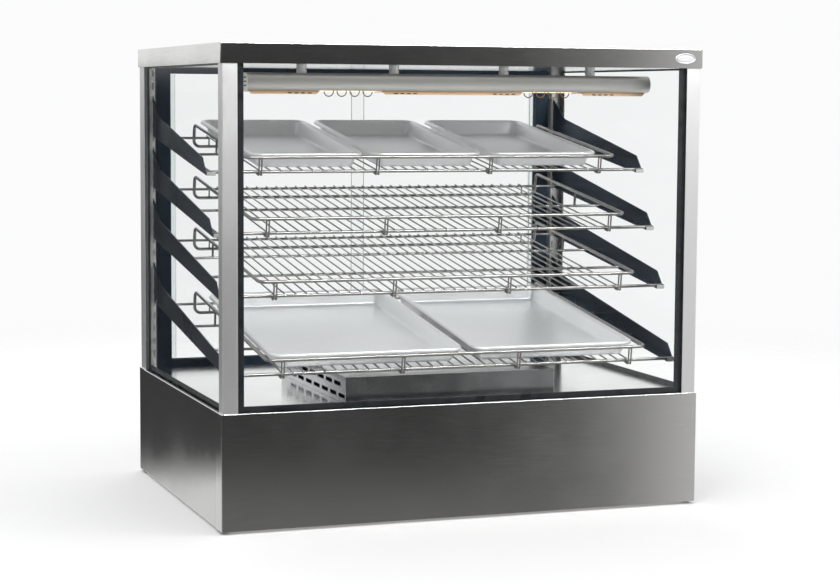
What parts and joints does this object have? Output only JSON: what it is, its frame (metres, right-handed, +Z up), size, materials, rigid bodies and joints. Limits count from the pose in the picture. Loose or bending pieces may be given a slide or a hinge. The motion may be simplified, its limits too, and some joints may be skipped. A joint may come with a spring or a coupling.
{
  "type": "hot food display case",
  "caption": "Countertop heated display case with a square glass window, four tilted wire shelves hung on slotted uprights, a lamp bar, and sliding glass doors behind.",
  "frame": {"origin": "on the table, at the middle of the case's footprint", "axes": "+X to the customer's right along the front, +Y from the customer's side to the operator's side, +Z up"},
  "size_m": [0.9, 0.6508, 0.836],
  "materials": {
    "steel_brushed": "brushed stainless sheet, grain along the panel",
    "steel_polished": "mirror-polished stainless sheet",
    "steel_satin": "satin stainless tube and sheet",
    "steel_dark": "dark reflective stainless frame",
    "wire_chrome": "bright chromed wire",
    "tray_metal": "bright smooth pressed sheet",
    "glass_clear": "clear toughened glass",
    "acrylic_clear": "clear extruded plastic edge profile",
    "seal_black": "black border seal",
    "rubber_black": "matt black rubber",
    "aluminium_satin": "plain cast aluminium",
    "ceramic_white": "white steatite",
    "quartz": "clear quartz envelope with a glowing coil",
    "badge_silver": "blank bright oval plate",
    "plastic_black": "black moulded plastic",
    "plastic_red": "red translucent rocker",
    "plastic_green": "green translucent rocker",
    "motor_paint": "grey painted motor can",
    "element_sheath": "heat-tinted steel sheath",
    "screw_steel": "plain stainless screws"
  },
  "bodies": {
    "cabinet": {"base_front_panel": "steel_brushed", "base_side_panel_left": "steel_brushed", "base_side_panel_right": "steel_brushed", "base_rear_panel": "steel_brushed", "base_floor_pan": "steel_satin", "deck_plate": "steel_polished", "feet": "rubber_black", "canopy_top": "steel_brushed", "canopy_ceiling": "steel_polished", "front_post_left": "steel_brushed", "front_post_right": "steel_brushed", "rear_posts": "steel_brushed", "front_glass": "glass_clear", "side_glass_left": "glass_clear", "side_glass_right": "glass_clear", "glass_seals": "seal_black", "badge_plate": "badge_silver", "slotted_upright_left": "steel_polished", "slotted_upright_right": "steel_polished", "rear_stiles": "steel_dark", "door_track_bottom": "steel_dark", "door_track_top": "steel_dark", "lamp_hood": "steel_satin", "lamp_end_caps": "steel_satin", "lamp_spacers": "wire_chrome", "lamp_holders": "ceramic_white", "quartz_lamps": "quartz", "lamp_guards": "wire_chrome", "heater_cover": "steel_polished", "heating_element": "element_sheath", "fan_motor": "motor_paint", "thermostat_body": "plastic_black", "switch_bezels": "plastic_black", "cable_gland": "plastic_black", "panel_screws": "screw_steel"},
    "door_left": {"rear_door_left": "glass_clear", "door_handle_left": "acrylic_clear"},
    "door_right": {"rear_door_right": "glass_clear", "door_handle_right": "acrylic_clear"},
    "shelf_1": {"shelf_1_brackets": "steel_dark", "shelf_1_rack": "wire_chrome", "shelf_1_guard": "wire_chrome"},
    "shelf_2": {"shelf_2_brackets": "steel_dark", "shelf_2_rack": "wire_chrome", "shelf_2_guard": "wire_chrome"},
    "shelf_3": {"shelf_3_brackets": "steel_dark", "shelf_3_rack": "wire_chrome", "shelf_3_guard": "wire_chrome"},
    "shelf_4": {"shelf_4_brackets": "steel_dark", "shelf_4_rack": "wire_chrome", "shelf_4_guard": "wire_chrome"},
    "tray_top_left": {"tray_top_left": "tray_metal"},
    "tray_top_centre": {"tray_top_centre": "tray_metal"},
    "tray_top_right": {"tray_top_right": "tray_metal"},
    "tray_bottom_left": {"tray_bottom_left": "tray_metal"},
    "tray_bottom_right": {"tray_bottom_right": "tray_metal"},
    "impeller": {"fan_impeller": "aluminium_satin"},
    "knob": {"thermostat_knob": "plastic_black"},
    "power_rocker": {"power_switch": "plastic_red"},
    "light_rocker": {"light_switch": "plastic_green"}
  },
  "joints": [
    {"name": "door_left_slide", "type": "slide", "parent": "cabinet", "child": "door_left", "axis": [1, 0, 0], "range_m": [0, 0.376]},
    {"name": "door_right_slide", "type": "slide", "parent": "cabinet", "child": "door_right", "axis": [1, 0, 0], "range_m": [-0.376, 0]},
    {"name": "shelf_1_lift", "type": "hinge", "parent": "cabinet", "child": "shelf_1", "pos_m": [0, 0.29575, 0.7323], "axis": [-1, 0, 0], "range_deg": [0, 6]},
    {"name": "shelf_2_lift", "type": "hinge", "parent": "cabinet", "child": "shelf_2", "pos_m": [0, 0.29575, 0.6323], "axis": [-1, 0, 0], "range_deg": [0, 6]},
    {"name": "shelf_3_lift", "type": "hinge", "parent": "cabinet", "child": "shelf_3", "pos_m": [0, 0.29575, 0.5323], "axis": [-1, 0, 0], "range_deg": [0, 6]},
    {"name": "shelf_4_lift", "type": "hinge", "parent": "cabinet", "child": "shelf_4", "pos_m": [0, 0.29575, 0.4073], "axis": [-1, 0, 0], "range_deg": [0, 6]},
    {"name": "tray_top_left_slide", "type": "slide", "parent": "shelf_1", "child": "tray_top_left", "axis": [0, 0.9903, 0.1392], "range_m": [0, 0.03]},
    {"name": "tray_top_centre_slide", "type": "slide", "parent": "shelf_1", "child": "tray_top_centre", "axis": [0, 0.9903, 0.1392], "range_m": [0, 0.03]},
    {"name": "tray_top_right_slide", "type": "slide", "parent": "shelf_1", "child": "tray_top_right", "axis": [0, 0.9903, 0.1392], "range_m": [0, 0.03]},
    {"name": "tray_bottom_left_slide", "type": "slide", "parent": "shelf_4", "child": "tray_bottom_left", "axis": [0, 0.9903, 0.1392], "range_m": [0, 0.05]},
    {"name": "tray_bottom_right_slide", "type": "slide", "parent": "shelf_4", "child": "tray_bottom_right", "axis": [0, 0.9903, 0.1392], "range_m": [0, 0.05]},
    {"name": "fan_spin", "type": "hinge", "parent": "cabinet", "child": "impeller", "pos_m": [-0.018, -0.08, 0.22], "axis": [0, 0, 1], "continuous": true},
    {"name": "knob_turn", "type": "hinge", "parent": "cabinet", "child": "knob", "pos_m": [-0.31, 0.303, 0.12], "axis": [0, -1, 0], "range_deg": [0, 270]},
    {"name": "power_rocker_tip", "type": "hinge", "parent": "cabinet", "child": "power_rocker", "pos_m": [-0.24, 0.298, 0.12], "axis": [-1, 0, 0], "range_deg": [0, 14]},
    {"name": "light_rocker_tip", "type": "hinge", "parent": "cabinet", "child": "light_rocker", "pos_m": [-0.2, 0.298, 0.12], "axis": [-1, 0, 0], "range_deg": [0, 14]}
  ]
}
